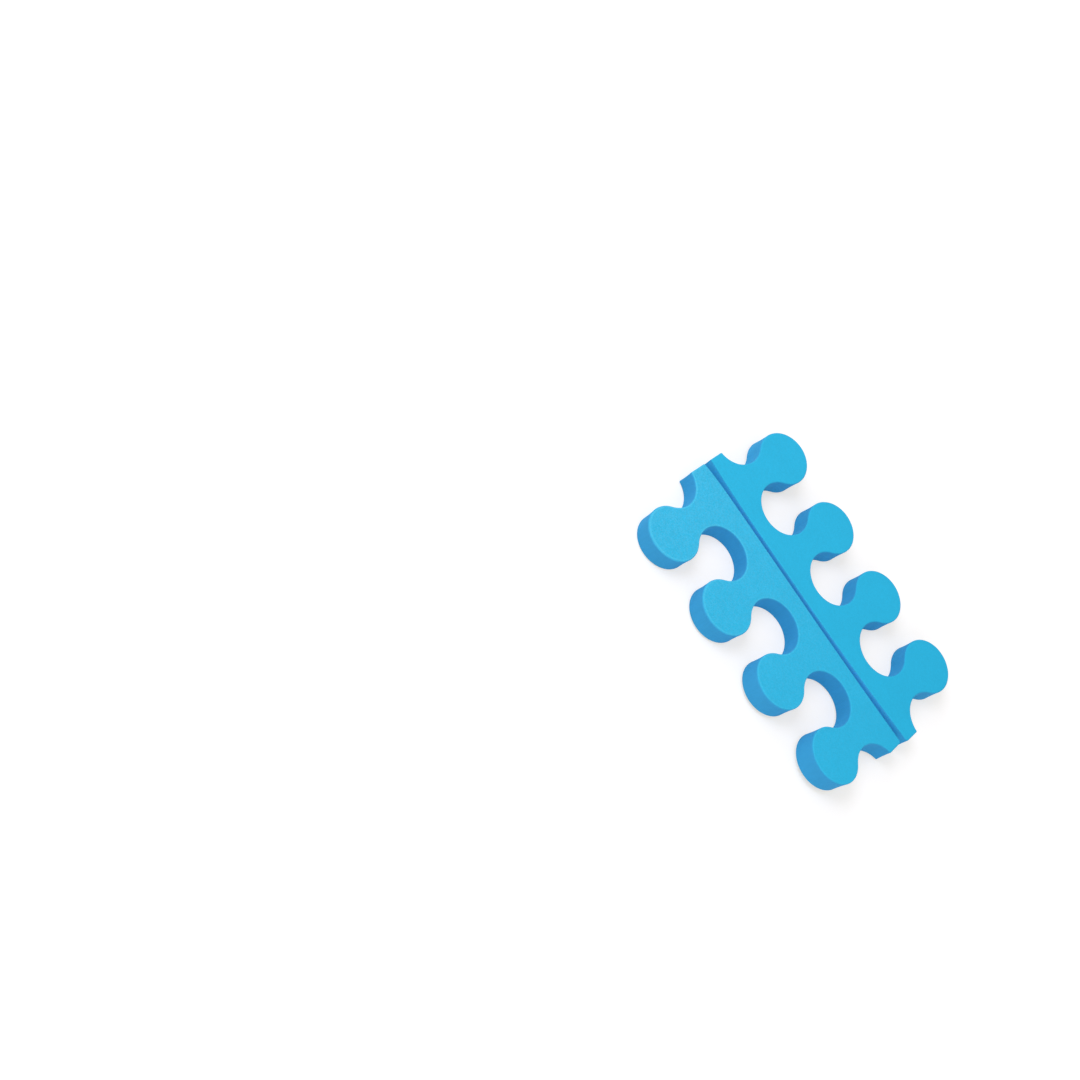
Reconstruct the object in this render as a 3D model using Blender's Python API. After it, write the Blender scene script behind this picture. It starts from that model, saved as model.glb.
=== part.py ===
"""Toe separator sheet: a pair of foam toe combs, die-cut back to back and still joined by a score.

The sheet lies flat on Z = 0. X runs along the score, Y across it, and the origin is under the
middle of the sheet. Run it with: blender --background --python part.py
"""

import math

import bmesh
import bpy

# Driving dimensions, in metres and radians
KNOBS_PER_COMB = 4
TOE_PITCH = 0.0240  # from one toe socket to the next
UNDERCUT_ANGLE = math.radians(41.8)  # how far the wave leans back under each head, at its turn
SPINE_HALF_WIDTH = 0.0069  # from the middle of the score to the bottom of a toe socket
END_TRIM = 0.0010  # each end is cut this far short of the middle of its half socket
SHEET_THICKNESS = 0.0060
SCORE_WIDTH = 0.0013  # the knife's gap along the middle stretch of the score
WIDE_MOUTH = 0.0024  # the gap at the -X end, which has sprung open
NARROW_MOUTH = 0.0016  # the gap at the +X end
SCORE_SKIN = 0.0010  # foam left uncut under the score, which is torn through in use
EDGE_RADIUS = 0.00035  # how far the die rounds the foam's cut edges

# How smoothly the curves are drawn
ARC_STEPS = 22  # straight steps round one head or one whole socket
SCORE_STEPS = 18  # straight steps along the score, short at the ends and long in the middle
EDGE_STEPS = 2
FLARE_POWER = 6  # the score stays narrow along the middle and flares close to its ends
SHARP_EDGE = math.radians(55)  # an edge that turns by more than this was made by the die
FLUSH = math.radians(0.05)  # faces that turn by less than this are one flat face

# Heads and sockets are arcs of one radius, which meet where the wave turns. So the comb that is
# cut next to this one on the sheet of foam fills the sockets with its own heads, with no waste.
WAVE_RADIUS = TOE_PITCH / (4 * math.cos(UNDERCUT_ANGLE))
SOCKET_CENTRE = SPINE_HALF_WIDTH + WAVE_RADIUS
HEAD_CENTRE = SOCKET_CENTRE + 2 * WAVE_RADIUS * math.sin(UNDERCUT_ANGLE)
HALF_LENGTH = KNOBS_PER_COMB * TOE_PITCH / 2 - END_TRIM

FOAM_COLOUR = (0.026, 0.445, 0.730, 1.0)  # cyan blue, as linear light
FOAM_ROUGHNESS = 0.85


def clear_scene():
    for thing in list(bpy.data.objects):
        bpy.data.objects.remove(thing, do_unlink=True)


def foam_material():
    foam = bpy.data.materials.new("cyan_closed_cell_foam")
    foam.use_nodes = True
    surface = foam.node_tree.nodes["Principled BSDF"]
    surface.inputs["Base Color"].default_value = FOAM_COLOUR
    surface.inputs["Roughness"].default_value = FOAM_ROUGHNESS
    surface.inputs["Metallic"].default_value = 0.0
    foam.diffuse_color = FOAM_COLOUR
    return foam


def arc(centre_x, centre_y, start, end):
    """Points of an arc of the wave's radius, from one angle to another, both ends included."""
    whole_turn = math.pi + 2 * UNDERCUT_ANGLE
    steps = max(2, round(ARC_STEPS * abs(end - start) / whole_turn))
    angles = [start + (end - start) * i / steps for i in range(steps + 1)]
    return [
        (centre_x + WAVE_RADIUS * math.cos(a), centre_y + WAVE_RADIUS * math.sin(a)) for a in angles
    ]


def comb_wave():
    """The cut edge of the +Y comb, from the -X end to the +X end: half a socket, then knobs with
    whole sockets between them, then half a socket."""
    trim_angle = math.asin(END_TRIM / WAVE_RADIUS)
    bottom = -math.pi / 2
    wave = []
    for i in range(KNOBS_PER_COMB + 1):
        socket_x = (i - KNOBS_PER_COMB / 2) * TOE_PITCH
        enter = bottom + trim_angle if i == 0 else -math.pi - UNDERCUT_ANGLE
        leave = bottom - trim_angle if i == KNOBS_PER_COMB else UNDERCUT_ANGLE
        wave += arc(socket_x, SOCKET_CENTRE, enter, leave)
        if i < KNOBS_PER_COMB:
            head = arc(
                socket_x + TOE_PITCH / 2, HEAD_CENTRE, math.pi + UNDERCUT_ANGLE, -UNDERCUT_ANGLE
            )
            wave += head[1:-1]
    return wave


def score_lip():
    """The +Y lip of the score, from the +X end back to the -X end."""
    lip = []
    for i in range(SCORE_STEPS + 1):
        along = math.cos(math.pi * i / SCORE_STEPS)
        mouth = NARROW_MOUTH if along > 0 else WIDE_MOUTH
        width = SCORE_WIDTH + (mouth - SCORE_WIDTH) * abs(along) ** FLARE_POWER
        lip.append((along * HALF_LENGTH, width / 2))
    return lip


def comb_plan(bm, side):
    """A flat face for one comb, and the vertices of its lip. side is 1 for +Y and -1 for -Y."""
    wave = [bm.verts.new((x, side * y, 0)) for x, y in comb_wave()]
    lip = [bm.verts.new((x, side * y, 0)) for x, y in score_lip()]
    return bm.faces.new(wave + lip), lip


def raise_faces(bm, faces, height):
    """Extrude flat faces upwards and return the faces that are now on top."""
    raised = bmesh.ops.extrude_face_region(bm, geom=faces)["geom"]
    moved = [v for v in raised if isinstance(v, bmesh.types.BMVert)]
    bmesh.ops.translate(bm, verts=moved, vec=(0, 0, height))
    return [f for f in raised if isinstance(f, bmesh.types.BMFace)]


def toe_separator():
    """Both combs and the skin that joins them, raised from their plan as one solid."""
    bm = bmesh.new()
    left_comb, left_lip = comb_plan(bm, 1)
    right_comb, right_lip = comb_plan(bm, -1)
    skin = bm.faces.new(left_lip + right_lip[::-1])
    for face in (left_comb, right_comb, skin):
        face.normal_update()
        if face.normal.z < 0:
            face.normal_flip()
    tops = raise_faces(bm, [left_comb, right_comb, skin], SCORE_SKIN)
    skin_top = min(tops, key=lambda f: abs(f.calc_center_median().y))
    combs = [f for f in tops if f is not skin_top]
    raise_faces(bm, combs, SHEET_THICKNESS - SCORE_SKIN)
    bmesh.ops.delete(bm, geom=combs, context="FACES_ONLY")
    bmesh.ops.recalc_face_normals(bm, faces=bm.faces[:])

    bmesh.ops.dissolve_limit(bm, angle_limit=FLUSH, verts=bm.verts[:], edges=bm.edges[:])
    cut_edges = [e for e in bm.edges if e.calc_face_angle_signed() > SHARP_EDGE]
    bmesh.ops.bevel(
        bm,
        geom=cut_edges,
        offset=EDGE_RADIUS,
        segments=EDGE_STEPS,
        profile=0.5,
        affect="EDGES",
        material=-1,
    )

    mesh = bpy.data.meshes.new("toe_separator")
    bm.to_mesh(mesh)
    bm.free()
    mesh.shade_smooth()
    mesh.set_sharp_from_angle(angle=SHARP_EDGE)
    mesh.materials.append(foam_material())
    sheet = bpy.data.objects.new("toe_separator", mesh)
    bpy.context.scene.collection.objects.link(sheet)
    return sheet


clear_scene()
toe_separator()
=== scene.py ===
import math

import bmesh
import bpy
from mathutils import Matrix, Vector, noise


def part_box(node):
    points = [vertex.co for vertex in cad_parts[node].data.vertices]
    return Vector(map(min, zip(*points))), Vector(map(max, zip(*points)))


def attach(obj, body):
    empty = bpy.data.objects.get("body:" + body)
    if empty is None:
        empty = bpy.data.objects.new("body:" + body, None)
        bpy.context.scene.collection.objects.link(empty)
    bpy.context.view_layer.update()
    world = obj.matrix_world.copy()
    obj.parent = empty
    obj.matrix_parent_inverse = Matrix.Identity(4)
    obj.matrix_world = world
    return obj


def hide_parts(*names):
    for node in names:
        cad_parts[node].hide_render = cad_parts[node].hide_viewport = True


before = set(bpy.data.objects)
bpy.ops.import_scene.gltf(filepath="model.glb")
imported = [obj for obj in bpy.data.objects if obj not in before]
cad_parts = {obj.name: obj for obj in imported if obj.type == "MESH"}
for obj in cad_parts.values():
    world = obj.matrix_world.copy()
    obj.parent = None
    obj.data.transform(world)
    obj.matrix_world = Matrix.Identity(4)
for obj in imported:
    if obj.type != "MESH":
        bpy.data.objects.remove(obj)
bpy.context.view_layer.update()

# The cut line of the combs: a steel-rule die bent into a wave of arcs of one radius, pressed
# through a slab of closed-cell EVA foam. One knob is drawn here, from the middle of a toe socket,
# round the knob's head, to the middle of the next socket, and is then stepped along the comb.
MM = 0.001
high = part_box("toe_separator")[1]
HEAD_TOP = high.y  # from the sheet's middle line to the top of a knob's head
KNOBS_PER_COMB = 4
TOE_PITCH = 24 * MM
UNDERCUT_ANGLE = math.radians(41.8)  # how far a head's arc runs on below its widest place
WAVE_RADIUS = TOE_PITCH / (4 * math.cos(UNDERCUT_ANGLE))
HEAD_CENTRE = HEAD_TOP - WAVE_RADIUS
SOCKET_CENTRE = HEAD_CENTRE - 2 * WAVE_RADIUS * math.sin(UNDERCUT_ANGLE)
ARC_STEP = math.radians(4)
HAIR = 0.01 * MM  # points closer than this are one point


def sweep(bm, tip, centre_x, centre_y, angle):
    """Draw an arc on from the last point of the cut line, and return the arc's own last point."""
    arc = bmesh.ops.spin(
        bm,
        geom=[tip],
        cent=(centre_x, centre_y, 0),
        axis=(0, 0, 1),
        angle=angle,
        steps=round(abs(angle) / ARC_STEP),
    )
    return next(part for part in arc["geom_last"] if isinstance(part, bmesh.types.BMVert))


sheet = bmesh.new()
quarter_socket = math.pi / 2 + UNDERCUT_ANGLE
whole_head = math.pi + 2 * UNDERCUT_ANGLE
first_x = -KNOBS_PER_COMB / 2 * TOE_PITCH
tip = bmesh.ops.create_vert(sheet, co=(first_x, SOCKET_CENTRE - WAVE_RADIUS, 0))["vert"][0]
tip = sweep(sheet, tip, first_x, SOCKET_CENTRE, quarter_socket)
tip = sweep(sheet, tip, first_x + TOE_PITCH / 2, HEAD_CENTRE, -whole_head)
sweep(sheet, tip, first_x + TOE_PITCH, SOCKET_CENTRE, quarter_socket)
one_knob = sheet.verts[:] + sheet.edges[:]
for i in range(1, KNOBS_PER_COMB):
    copy = bmesh.ops.duplicate(sheet, geom=one_knob)["geom"]
    copied = [part for part in copy if isinstance(part, bmesh.types.BMVert)]
    bmesh.ops.translate(sheet, verts=copied, vec=(i * TOE_PITCH, 0, 0))
bmesh.ops.remove_doubles(sheet, verts=sheet.verts[:], dist=HAIR)

# The two combs and the score between them. The combs lie back to back, and a knife score parts
# them down to a skin. The sheet's ends are cut square, though at the +X end one comb is a little
# long and one a little short, and the corners there, where the tear starts, have worn round.
HALF_LENGTH = high.x
THICKNESS = high.z
SCORE_WIDTH = 1.35 * MM
LONG_END = 0.5 * MM
SHORT_END = 0.6 * MM
TIP_RUN = 1.0 * MM  # how much of the wave is drawn straight where an end cuts across it
WORN_CORNER = 1.1 * MM
CORNER_SEGMENTS = 6
SCORE_SKIN = 1.0 * MM

open_ends = [v for v in sheet.verts if len(v.link_edges) == 1]
spine = [
    bmesh.ops.create_vert(sheet, co=(v.co.x, SCORE_WIDTH / 2, 0))["vert"][0]
    for v in sorted(open_ends, key=lambda v: v.co.x)
]
bmesh.ops.contextual_create(sheet, geom=spine)
for corner in spine:
    end = min(open_ends, key=lambda v: abs(v.co.x - corner.co.x))
    bmesh.ops.contextual_create(sheet, geom=[corner, end])
bmesh.ops.contextual_create(sheet, geom=sheet.edges[:])
whole = sheet.verts[:] + sheet.edges[:] + sheet.faces[:]
bmesh.ops.mirror(sheet, geom=whole, matrix=Matrix(), merge_dist=HAIR, axis="Y")


def trim_comb(bm, side, x):
    """Cut one comb off square beyond x, and draw the last of its wave there as a straight step."""
    verts = [v for v in bm.verts if v.co.y * side > 0]
    edges = [e for e in bm.edges if e.verts[0].co.y * side > 0]
    faces = [f for f in bm.faces if f.calc_center_median().y * side > 0]
    bmesh.ops.bisect_plane(
        bm,
        geom=verts + edges + faces,
        dist=HAIR,
        plane_co=(x, 0, 0),
        plane_no=(math.copysign(1, x), 0, 0),
        clear_outer=True,
    )
    comb = [v for v in bm.verts if v.co.y * side > 0]
    crowded = [v for v in comb if HAIR < abs(v.co.x - x) < TIP_RUN]
    bmesh.ops.dissolve_verts(bm, verts=crowded)


trim_comb(sheet, 1, -HALF_LENGTH)
trim_comb(sheet, 1, HALF_LENGTH + LONG_END)
trim_comb(sheet, -1, -HALF_LENGTH)
trim_comb(sheet, -1, HALF_LENGTH - SHORT_END)

mouth_corners = [v for v in sheet.verts if abs(v.co.y) < SCORE_WIDTH and v.co.x > 0]
bmesh.ops.bevel(
    sheet,
    geom=mouth_corners,
    offset=WORN_CORNER,
    segments=CORNER_SEGMENTS,
    profile=0.5,
    affect="VERTICES",
    material=-1,
)
lips = [e for e in sheet.edges if e.calc_length() > HALF_LENGTH]
bmesh.ops.bridge_loops(sheet, edges=lips)


def raise_faces(bm, faces, height):
    """Extrude flat faces upwards and return the faces that are now on top."""
    raised = bmesh.ops.extrude_face_region(bm, geom=faces)["geom"]
    moved = [part for part in raised if isinstance(part, bmesh.types.BMVert)]
    bmesh.ops.translate(bm, verts=moved, vec=(0, 0, height))
    return [part for part in raised if isinstance(part, bmesh.types.BMFace)]


for face in sheet.faces:
    if face.normal.z < 0:
        face.normal_flip()
tops = raise_faces(sheet, sheet.faces[:], SCORE_SKIN)
combs = [f for f in tops if abs(f.calc_center_median().y) > SCORE_WIDTH]
raise_faces(sheet, combs, THICKNESS - SCORE_SKIN)
bmesh.ops.delete(sheet, geom=combs, context="FACES_ONLY")
bmesh.ops.recalc_face_normals(sheet, faces=sheet.faces[:])

# The cut edges. The die drags the face down as it goes in, so the top rim is rolled over, and it
# leaves the foam at a crisper bottom rim. A narrow flat band inside each rim keeps the roll local.
TOP_ROLL = 0.35 * MM
BOTTOM_ROLL = 0.15 * MM
ROLL_SEGMENTS = 4
BAND = 0.2 * MM
SHARP_EDGE = math.radians(55)
LEVEL_FACES = math.radians(0.05)  # faces that meet at less than this are one flat face

bmesh.ops.dissolve_limit(
    sheet, angle_limit=LEVEL_FACES, verts=sheet.verts[:], edges=sheet.edges[:]
)
for height, roll in ((THICKNESS, TOP_ROLL), (0, BOTTOM_ROLL)):
    rim = [
        e
        for e in sheet.edges
        if e.calc_face_angle_signed(0) > SHARP_EDGE
        and any(abs(v.co.z - height) < HAIR for v in e.verts)
    ]
    bmesh.ops.bevel(
        sheet,
        geom=rim,
        offset=roll,
        segments=ROLL_SEGMENTS,
        profile=0.5,
        affect="EDGES",
        material=-1,
    )
for height in (THICKNESS, 0):
    flats = [f for f in sheet.faces if all(abs(v.co.z - height) < HAIR for v in f.verts)]
    bmesh.ops.inset_region(sheet, faces=flats, thickness=BAND, use_even_offset=True)

# The sheet's surface is sliced into small faces, so that soft foam can bend and go slightly out
# of true. The score's lips spring open at the ends, the cut walls are dished where the foam was
# squeezed under the die, its top has sprung a little askew, and the whole sheet curls slightly.
SLICE = 2 * MM
WALL_SLICES = 4
WIDE_MOUTH = 3.5 * MM
WIDE_FLARE = 7.0  # the -X mouth opens only close to its end
NARROW_MOUTH = 2.6 * MM
NARROW_FLARE = 1.5  # the +X mouth opens gradually
LIP_REACH = 5 * MM  # how far from the score the foam gives way with its lips
LIP_ROLL = 0.4  # a blade leaves a crisper rim than the die does, so the roll shrinks to this share
LIP_FADE = 24  # but for the sheet's ends, where the lips are torn
SCORE_BIAS = 0.32 * MM
SCORE_SWAY = 0.5 * MM
SWAY_TURN = math.radians(118)  # how much of a wave the knife strayed by, over half the sheet
SCORE_TAPER = 0.3  # the cut is narrower by this share at its bottom
WALL_DISH = 0.1 * MM
WANDER = 0.1 * MM
WANDER_LENGTH = 14 * MM
WANDER_SEED = 3
CURL_ALONG = 0.315 * MM  # how far the curl lifts the middles of the two ends
CURL_ACROSS = 0.77 * MM  # and the tops of the knobs
CURL_TWIST = -0.825 * MM  # and lifts two opposite corners, and lowers the other two
LEAN_ALONG, LEAN_ACROSS = 0.48 * MM, 0.5 * MM  # how far a head's top has sprung past its foot
LEAN_TWIST = -0.45 * MM  # how that differs between opposite corners of the sheet
HEAD_FLARE = 0.14 * MM  # how far a head's top has spread, all round
FLARE_FALL = 2.2  # how fast that dies away along the -Y comb, towards +X
LEVEL = 0.0001  # a surface that tilts less than this is level
RIM_TILT = 0.45  # only a surface that tilts less than this gets the painted highlight
SHEEN_FRONT, FRONT_FALL = 0.63, 0.5  # the painted sheen and rim highlight show on the -Y comb, and less towards its +X end
SHEEN_BACK, BACK_FALL = 0.085, 0.1  # and hardly show on the +Y comb
LIP_HIGHLIGHT = 0.35  # how much painted highlight the score's lips get, against the outer rims
TORN_FROM = 8  # the score's walls are torn only close to its ends, where they take the die-cut walls' painted shade instead of the score's painted light


def slice_across(bm, axis, reach, spacing):
    """Cut every face along evenly spaced planes that stand across one axis."""
    count = int(reach / spacing)
    for i in range(-count, count + 1):
        place = Vector((0, 0, 0))
        place[axis] = (i + 0.5) * spacing
        normal = Vector((0, 0, 0))
        normal[axis] = 1
        bmesh.ops.bisect_plane(
            bm,
            geom=bm.verts[:] + bm.edges[:] + bm.faces[:],
            dist=HAIR,
            plane_co=place,
            plane_no=normal,
        )


slice_across(sheet, 0, HALF_LENGTH, SLICE)
slice_across(sheet, 1, HEAD_TOP, SLICE)
slice_across(sheet, 2, THICKNESS, THICKNESS / WALL_SLICES)


def is_in_score(v):
    """Whether a point lies on the walls or the bottom of the score."""
    return abs(v.co.y) < SCORE_WIDTH and v.co.z > SCORE_SKIN - HAIR


# What each point of the surface is, for the foam's colours: die-cut wall, which gets painted shade;
# knife-cut score wall, which gets painted light; the top rims' painted highlight; and how much
# painted sheen it gets.
sheet.normal_update()
cut_wall, score_wall_light, rim_highlight, painted_sheen = (
    sheet.verts.layers.float.new(name)
    for name in ("cut_wall", "score_wall_light", "rim_highlight", "painted_sheen")
)
for v in sheet.verts:
    along = v.co.x / HALF_LENGTH
    in_score = is_in_score(v)
    upright = 1 - abs(v.normal.z)
    on_front = v.co.y < 0
    # how strong the painted sheen and the rims' painted highlight are here
    sheen_level = SHEEN_FRONT - FRONT_FALL * along if on_front else SHEEN_BACK - BACK_FALL * along
    sheen_level = max(0, sheen_level)
    torn = min(1.0, abs(along)) ** TORN_FROM if in_score else 1.0
    # die-cut walls take the painted shade, and the score's walls away from its ends the painted
    # light
    v[cut_wall] = upright * torn
    v[score_wall_light] = upright * (1 - torn)
    v[painted_sheen] = sheen_level * (1 - upright)
    # the painted highlight along the rolled top rims, as strong as the painted sheen here
    if upright > LEVEL and v.co.z > THICKNESS / 2:
        v[rim_highlight] = max(0, 1 - upright / RIM_TILT) * sheen_level * (LIP_HIGHLIGHT if in_score else 1)

# The foam gives: first the score's lips, then the walls and the cut line, and then the sheet.
noise.seed_set(WANDER_SEED)
for v in sheet.verts:
    x, y, z = v.co
    along = x / HALF_LENGTH
    rise = z / THICKNESS
    side = math.copysign(1, y)
    in_score = is_in_score(v)
    upright = 1 - abs(v.normal.z)
    mouth, bend = (NARROW_MOUTH, NARROW_FLARE) if x > 0 else (WIDE_MOUTH, WIDE_FLARE)
    opening = (mouth - SCORE_WIDTH) / 2 * abs(along) ** bend
    stray = SCORE_BIAS + SCORE_SWAY * math.cos(SWAY_TURN * (along + 1))
    shift = (side * opening * rise + stray) * max(0, 1 - abs(y) / LIP_REACH) ** 2
    if in_score:
        shift -= side * SCORE_TAPER * SCORE_WIDTH * (1 - rise) / 2
    if in_score and upright > LEVEL and z > THICKNESS - TOP_ROLL - HAIR:
        crisp = (1 - LIP_ROLL) * (1 - min(1.0, abs(along)) ** LIP_FADE)
        crisp *= abs(v.normal.y) / v.normal.xy.length
        shift -= side * crisp * (abs(y) - SCORE_WIDTH / 2)
        v.co.z += crisp * (THICKNESS - z)
    dish = WALL_DISH * (1 - v.normal.z**2) * 4 * rise * (1 - rise)
    wander = WANDER * noise.noise_vector(Vector((x, y, 0)) / WANDER_LENGTH)
    curl = CURL_ALONG * along**2 + CURL_ACROSS * (y / HEAD_TOP) ** 2
    curl += CURL_TWIST * along * y / HEAD_TOP
    v.co += Vector((wander.x, wander.y + shift, curl)) - v.normal * dish

    reach = abs(y) / HEAD_TOP
    twist = LEAN_TWIST * along * side
    v.co.x += (LEAN_ALONG + twist) * reach**2 * rise
    v.co.y += (LEAN_ACROSS + twist) * reach * rise
    flare = HEAD_FLARE * max(0, 1 - FLARE_FALL * along if y < 0 else 1) * reach**2 * rise
    v.co += flare * Vector((v.normal.x, v.normal.y, 0))

mesh = bpy.data.meshes.new("foam_sheet")
sheet.to_mesh(mesh)
sheet.free()
mesh.shade_smooth()
mesh.set_sharp_from_angle(angle=SHARP_EDGE)
foam_sheet = bpy.data.objects.new("foam_sheet", mesh)
bpy.context.scene.collection.objects.link(foam_sheet)

# The foam: cross-linked closed-cell EVA, sliced from a dyed block and left bare. Sliced cells
# make it matte with a fine sandy grain. The die-cut walls get a deeper blue, which is painted
# shade, and the score's walls a lighter blue, which is painted light. The -Y comb gets a pale
# painted sheen with paler painted glints in its grain, and the top rims a painted highlight,
# strongest on that comb.
SLICED_FACE = "#21B0DB"
# painted shade: the upright die-cut walls get a darker, bluer copy of the face's colour
SHADED_WALL = "#369DD5"
# painted light: the score's walls are lighter than the face, for light that passes through the foam
LIT_SCORE_WALL = "#48B8EE"
# painted highlight along the rolled top rims
RIM_HIGHLIGHT = "#55CBEE"
RIM_HIGHLIGHT_LEVEL = 0.3
# painted sheen: a pale whitish veil over the faces
SHEEN_TINT = "#DCEBF0"
SHEEN_STRENGTH = 0.031  # how much of the face the painted sheen covers where it is strongest
PATCHY = 0.65  # how much the painted sheen differs from one cell to the next
CELL = 0.32 * MM  # real cells are finer, and are drawn this coarse so that they show
CLUSTER = 1.1 * MM
MOTTLE = 9 * MM
DRAG = 0.5 * MM  # between the faint upright streaks that the die's blade leaves in a wall
DRAG_LENGTH = 8 * MM
SPECK_LOW, SPECK_HIGH = -0.6, 1.4  # more cells are pale than dark
FINE_GRAIN, GLINTING_GRAIN = 0.027, 0.075  # how strong the specks are: plain grain, and grain with painted glints where the painted sheen is full
NOISE_LOW, NOISE_HIGH = 0.3, 0.7  # between which most of a noise pattern lies
CLUMPING, MOTTLING, STREAKING = 0.01, 0.015, 0.025  # how far each pattern shifts the shade
FACE_ROUGHNESS, WALL_ROUGHNESS = 0.8, 0.92
FOAM_GLOSS = 0.25
CELL_RELIEF = 0.3
CELL_DEPTH = 0.1 * MM


def linear(hex_colour):
    """An sRGB hex colour as linear light."""
    channels = [int(hex_colour[i : i + 2], 16) / 255 for i in (1, 3, 5)]
    light = [c / 12.92 if c <= 0.04045 else ((c + 0.055) / 1.055) ** 2.4 for c in channels]
    return (*light, 1.0)


def add_node(material, kind, inputs, **settings):
    """Add a shader node. Each input is given a value, or the socket that it is linked from."""
    tree = material.node_tree
    node = tree.nodes.new("ShaderNode" + kind)
    for name, value in settings.items():
        setattr(node, name, value)
    for name, value in inputs.items():
        if isinstance(value, bpy.types.NodeSocket):
            tree.links.new(value, node.inputs[name])
        else:
            node.inputs[name].default_value = value
    return node


foam = bpy.data.materials.new("die_cut_eva_foam")
foam.use_nodes = True
foam.node_tree.nodes.clear()
place = add_node(foam, "TexCoord", {}).outputs["Object"]
cut, score_light, rim_highlight_mask, sheen_mask = (
    add_node(foam, "Attribute", {}, attribute_name=name).outputs["Fac"]
    for name in ("cut_wall", "score_wall_light", "rim_highlight", "painted_sheen")
)

cells = add_node(foam, "TexVoronoi", {"Vector": place, "Scale": 1 / CELL})
chance = add_node(foam, "SeparateColor", {"Color": cells.outputs["Color"]}).outputs
clusters = add_node(foam, "TexNoise", {"Vector": place, "Scale": 1 / CLUSTER, "Detail": 2.0})
mottle = add_node(foam, "TexNoise", {"Vector": place, "Scale": 1 / MOTTLE, "Detail": 3.0})
stretched = add_node(
    foam, "Mapping", {"Vector": place, "Scale": (1 / DRAG, 1 / DRAG, 1 / DRAG_LENGTH)}
)
drag = add_node(foam, "TexNoise", {"Vector": stretched.outputs[0], "Scale": 1.0, "Detail": 2.0})
clump, patch, streak = (
    add_node(
        foam,
        "MapRange",
        {
            "Value": pattern.outputs[0],
            "From Min": NOISE_LOW,
            "From Max": NOISE_HIGH,
            "To Min": 1 - swing,
            "To Max": 1 + swing,
        },
    ).outputs[0]
    for pattern, swing in ((clusters, CLUMPING), (mottle, MOTTLING), (drag, STREAKING))
)

# A Mix node's input 0 is the share of the second of two numbers, 2 and 3, or colours, 6 and 7.
speck = add_node(
    foam, "MapRange", {"Value": chance["Green"], "To Min": SPECK_LOW, "To Max": SPECK_HIGH}
).outputs[0]
# the specks grow stronger where the painted sheen is, as painted glints
grain_and_glints = add_node(
    foam, "MapRange", {"Value": sheen_mask, "To Min": FINE_GRAIN, "To Max": GLINTING_GRAIN}
).outputs[0]
speck = add_node(
    foam, "Math", {0: speck, 1: grain_and_glints, 2: 1.0}, operation="MULTIPLY_ADD"
).outputs[0]
sandy = add_node(foam, "Math", {0: speck, 1: clump}, operation="MULTIPLY").outputs[0]
grain = add_node(foam, "Mix", {0: cut, 2: sandy, 3: streak}, data_type="FLOAT").outputs[0]
pattern = add_node(foam, "Math", {0: grain, 1: patch}, operation="MULTIPLY").outputs[0]

# the painted sheen, patchy from cell to cell
sheen_veil = add_node(
    foam,
    "MapRange",
    {"Value": chance["Red"], "To Min": SHEEN_STRENGTH * (1 - PATCHY), "To Max": SHEEN_STRENGTH * (1 + PATCHY)},
).outputs[0]
sheen_veil = add_node(foam, "Math", {0: sheen_veil, 1: sheen_mask}, operation="MULTIPLY").outputs[0]
# the rims' painted highlight
rim_highlight_share = add_node(foam, "Math", {0: rim_highlight_mask, 1: RIM_HIGHLIGHT_LEVEL}, operation="MULTIPLY").outputs[0]
# The face's colour, mixed in turn with the walls' painted shade, the score walls' painted light,
# the rims' painted highlight and the painted sheen
tone = linear(SLICED_FACE)
for share, shade in ((cut, SHADED_WALL), (score_light, LIT_SCORE_WALL), (rim_highlight_share, RIM_HIGHLIGHT), (sheen_veil, SHEEN_TINT)):
    blend = {0: share, 6: tone, 7: linear(shade)}
    tone = add_node(foam, "Mix", blend, data_type="RGBA").outputs[2]
colour = add_node(foam, "VectorMath", {0: tone, "Scale": pattern}, operation="SCALE").outputs[0]

rough = add_node(
    foam, "MapRange", {"Value": cut, "To Min": FACE_ROUGHNESS, "To Max": WALL_ROUGHNESS}
).outputs[0]
bump = add_node(
    foam,
    "Bump",
    {"Height": cells.outputs["Distance"], "Strength": CELL_RELIEF, "Distance": CELL_DEPTH},
).outputs[0]
surface = add_node(
    foam,
    "BsdfPrincipled",
    {"Base Color": colour, "Roughness": rough, "Specular IOR Level": FOAM_GLOSS, "Normal": bump},
)
add_node(foam, "OutputMaterial", {"Surface": surface.outputs[0]})
mesh.materials.append(foam)

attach(foam_sheet, "root")
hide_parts("toe_separator")

# The floor: a matt white paper sweep, which throws a paler light back on the cut walls. Seen by
# the camera it is plain white apart from the soft shadow round the sheet, and that shadow's grey is
# balanced, cool under a warm glow, to take out the blue that the foam throws on the paper.
FLOOR_SIZE = 6.0
PAPER_WHITE = "#E7E7E7"
SEEN_PAPER = "#BCC1D1"
SEEN_GLOW = "#FFF6E0"
NEAR_GLOW = 0.565
FAR_GLOW = 0.87
SHADOW_REACH = 0.08  # from the sheet's middle, as far as its shadow may show
WHITE_REACH = 0.20  # and from here on the paper is plain white

floor_bm = bmesh.new()
bmesh.ops.create_grid(floor_bm, x_segments=1, y_segments=1, size=FLOOR_SIZE / 2)
floor_mesh = bpy.data.meshes.new("floor")
floor_bm.to_mesh(floor_mesh)
floor_bm.free()
floor = bpy.data.objects.new("floor", floor_mesh)
bpy.context.scene.collection.objects.link(floor)


def plain_sight(material):
    """1 for rays from the camera, straight or by way of gloss or glass, and 0 for all others."""
    rays = add_node(material, "LightPath", {}).outputs
    seen = add_node(
        material, "Math", {0: rays["Is Camera Ray"], 1: rays["Is Glossy Ray"]}, operation="MAXIMUM"
    ).outputs[0]
    through = {0: seen, 1: rays["Is Transmission Ray"]}
    return add_node(material, "Math", through, operation="MAXIMUM").outputs[0]


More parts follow.
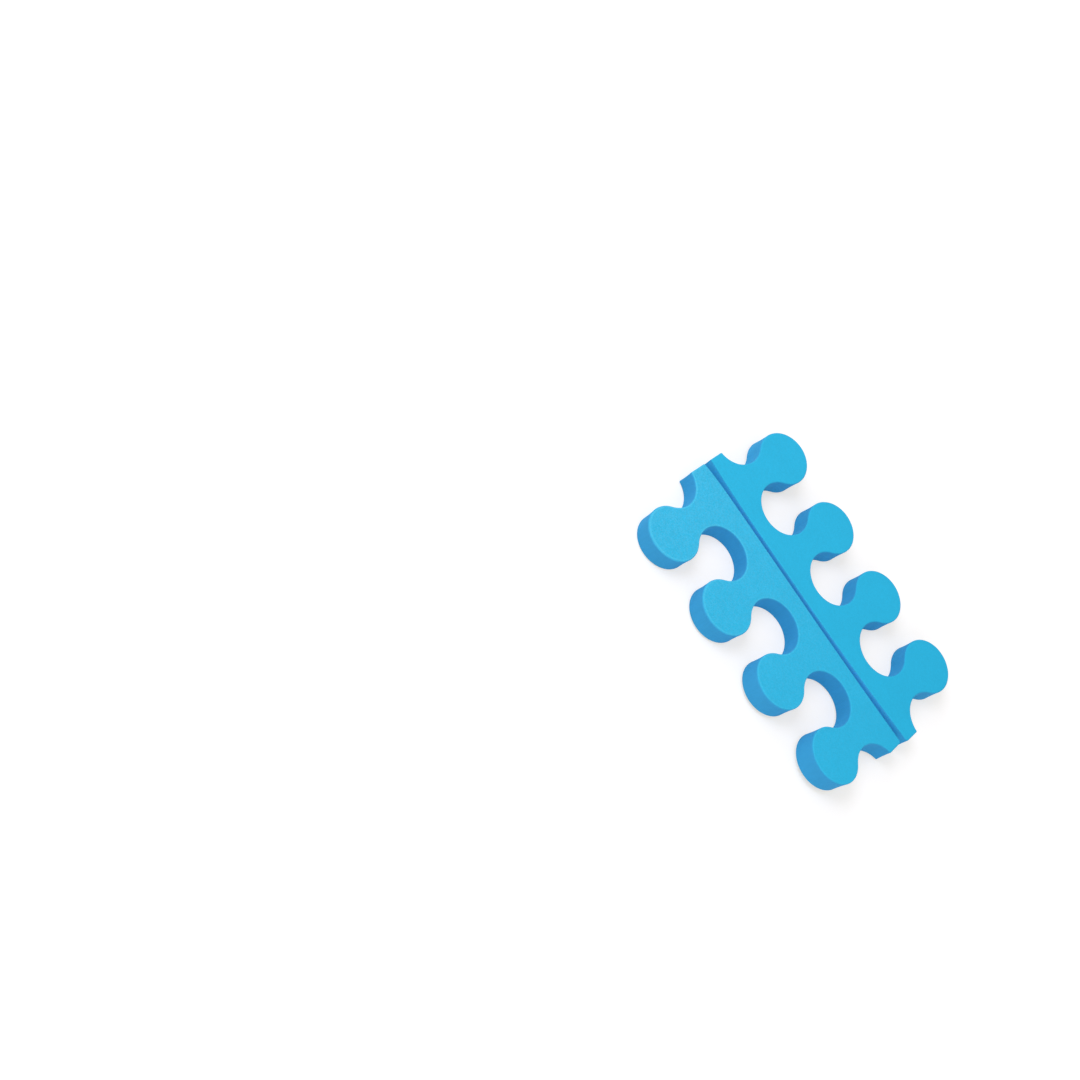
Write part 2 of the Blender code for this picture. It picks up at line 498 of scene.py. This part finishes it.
paper = bpy.data.materials.new("matt_white_paper_sweep")
paper.use_nodes = True
paper.node_tree.nodes.clear()
seen = plain_sight(paper)
spot = add_node(paper, "TexCoord", {}).outputs["Object"]
away = add_node(paper, "VectorMath", {0: spot}, operation="LENGTH").outputs["Value"]
glow_level = add_node(
    paper,
    "MapRange",
    {
        "Value": away,
        "From Min": SHADOW_REACH,
        "From Max": WHITE_REACH,
        "To Min": NEAR_GLOW,
        "To Max": FAR_GLOW,
    },
).outputs[0]
lift = add_node(paper, "Math", {0: seen, 1: glow_level}, operation="MULTIPLY").outputs[0]
glow = add_node(paper, "Emission", {"Color": linear(SEEN_GLOW), "Strength": lift}).outputs[0]
shade = {0: seen, 6: linear(PAPER_WHITE), 7: linear(SEEN_PAPER)}
shade = add_node(paper, "Mix", shade, data_type="RGBA").outputs[2]
matt = add_node(paper, "BsdfDiffuse", {"Color": shade}).outputs[0]
lit = add_node(paper, "AddShader", {0: matt, 1: glow})
add_node(paper, "OutputMaterial", {"Surface": lit.outputs[0]})
floor_mesh.materials.append(paper)

# Soft studio light: an even white room, a soft lamp near the sheet's upper left, and two weak
# lamps that fill the walls which that one leaves dark.
ROOM_WHITE = "#FFFFFF"
ROOM_LIGHT = 0.576
LAMPS = {  # place in metres, width in metres, and power in watts
    "key_lamp": ((-0.25, -0.14, 0.38), 0.28, 0.78),
    "fill_lamp": ((0.35, -0.45, 0.30), 0.50, 1.0),
    "side_lamp": ((-0.60, 0.20, 0.35), 0.50, 1.1),
}

room = bpy.data.worlds.new("white_room")
room.use_nodes = True
room.node_tree.nodes.clear()
level = add_node(
    room, "MapRange", {"Value": plain_sight(room), "To Min": ROOM_LIGHT, "To Max": 1.0}
)
walls = add_node(room, "Background", {"Color": linear(ROOM_WHITE), "Strength": level.outputs[0]})
add_node(room, "OutputWorld", {"Surface": walls.outputs[0]})
bpy.context.scene.world = room

for name, (stand, width, power) in LAMPS.items():
    lamp_data = bpy.data.lights.new(name, "AREA")
    lamp_data.shape = "DISK"
    lamp_data.size = width
    lamp_data.energy = power
    lamp = bpy.data.objects.new(name, lamp_data)
    lamp.location = stand
    lamp.rotation_mode = "QUATERNION"
    lamp.rotation_quaternion = (-Vector(stand)).to_track_quat("-Z", "Y")
    bpy.context.scene.collection.objects.link(lamp)

# The camera looks down on the sheet from the -Y side and is rolled, so the score runs from the
# upper left to the lower right, at the right of the frame.
CAMERA_PLACE = Vector((-35.72, -333.43, 323.19)) * MM
CAMERA_AIM = Vector((-54.26, -60.21, 0)) * MM  # where the middle of the frame meets the floor
CAMERA_ROLL = math.radians(52.08)
LENS = 55.13  # mm, on a 36 mm wide sensor

camera_data = bpy.data.cameras.new("camera")
camera_data.lens = LENS
camera_data.clip_start = 10 * MM
camera = bpy.data.objects.new("camera", camera_data)
camera.location = CAMERA_PLACE
camera.rotation_mode = "QUATERNION"
straight_up = (CAMERA_AIM - CAMERA_PLACE).to_track_quat("-Z", "Y")
camera.rotation_quaternion = straight_up @ Matrix.Rotation(CAMERA_ROLL, 3, "Z").to_quaternion()
bpy.context.scene.collection.objects.link(camera)
bpy.context.scene.camera = camera
bpy.context.scene.view_settings.view_transform = "Standard"
